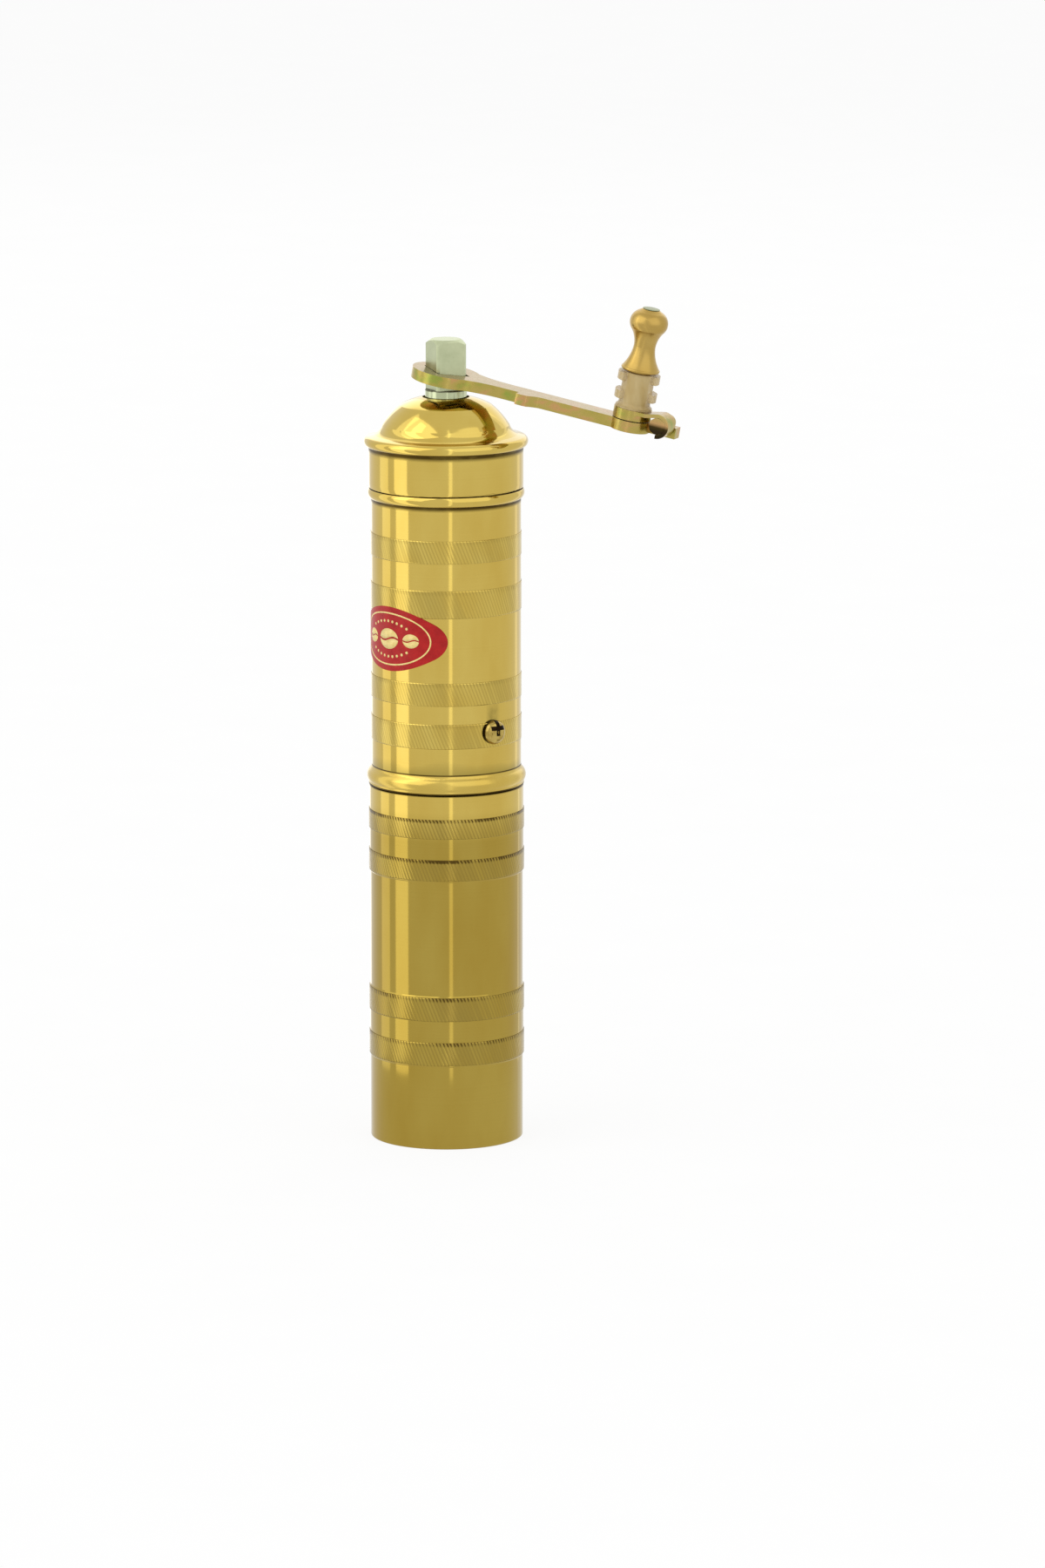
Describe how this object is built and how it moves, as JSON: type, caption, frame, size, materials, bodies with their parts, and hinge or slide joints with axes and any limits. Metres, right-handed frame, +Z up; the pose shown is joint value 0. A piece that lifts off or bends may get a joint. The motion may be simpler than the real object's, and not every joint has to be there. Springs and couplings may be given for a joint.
{
  "type": "coffee grinder mill",
  "caption": "Cylindrical brass hand mill for coffee: a ground-coffee cup, a bean chamber with conical burrs, a domed lid and a lift-off crank with a folding, turning knob.",
  "frame": {"origin": "centre of the underside of the cup", "axes": "+Z up along the mill's axis, +X along the crank from the spindle to the knob"},
  "size_m": [0.0946, 0.0478, 0.2479],
  "materials": {
    "brass": "polished, lightly drawn round the axis",
    "satin_brass": "satin turned",
    "aged_brass": "dulled brass plate",
    "zinc_steel": "clear zinc plate",
    "chromate_steel": "yellow chromate on zinc plate",
    "dark_steel": "oiled black",
    "burr_iron": "hardened, ground",
    "bearing_bronze": "sintered",
    "nylon": "milky, translucent",
    "label_film": "glossy printed film"
  },
  "bodies": {
    "cup": {"cup_wall": "brass", "cup_base": "brass"},
    "body": {"upper_tube": "brass", "top_bridge": "brass", "top_bush": "bearing_bronze", "burr_guide": "burr_iron", "guide_bush": "bearing_bronze", "outer_burr": "burr_iron", "body_screw_front": "aged_brass", "body_screw_back": "aged_brass", "label": "label_film"},
    "lid": {"lid_skirt": "brass", "lid_dome": "brass"},
    "spindle": {"spindle": "zinc_steel", "thrust_washer": "zinc_steel", "retaining_clip": "dark_steel"},
    "burr": {"inner_burr": "burr_iron"},
    "adjuster": {"adjusting_nut": "brass"},
    "handle": {"crank_arm": "chromate_steel", "hinge_pin": "chromate_steel"},
    "leaf": {"knob_leaf": "chromate_steel", "knob_sleeve": "nylon", "knob_rivet": "zinc_steel"},
    "grip": {"knob": "satin_brass"}
  },
  "joints": [
    {"name": "body_lift", "type": "slide", "parent": "cup", "child": "body", "axis": [0, 0, 1], "range_m": [0, 0.06]},
    {"name": "lid_lift", "type": "slide", "parent": "body", "child": "lid", "axis": [0, 0, 1], "range_m": [0, 0.05]},
    {"name": "crank_turn", "type": "hinge", "parent": "body", "child": "spindle", "pos_m": [0, 0, 0.2], "axis": [0, 0, 1], "continuous": true},
    {"name": "burr_travel", "type": "slide", "parent": "spindle", "child": "burr", "axis": [0, 0, -1], "range_m": [-0.00025, 0.0015]},
    {"name": "adjust_turn", "type": "hinge", "parent": "burr", "child": "adjuster", "pos_m": [0, 0, 0.108], "axis": [0, 0, -1], "range_deg": [-91, 541]},
    {"name": "handle_lift", "type": "slide", "parent": "spindle", "child": "handle", "axis": [0, 0, 1], "range_m": [0, 0.06]},
    {"name": "knob_fold", "type": "hinge", "parent": "handle", "child": "leaf", "pos_m": [0.067, 0, 0.2141], "axis": [0, 1, 0], "range_deg": [0, 170]},
    {"name": "knob_spin", "type": "hinge", "parent": "leaf", "child": "grip", "pos_m": [0.05717, 0, 0.21379], "axis": [0.1874, 0, 0.9823], "continuous": true}
  ],
  "couplings": [
    {"joint": "lid_lift", "follows": "handle_lift", "ratio": 0.8333},
    {"joint": "adjust_turn", "follows": "burr_travel", "rad_per_m": 6283.2}
  ]
}
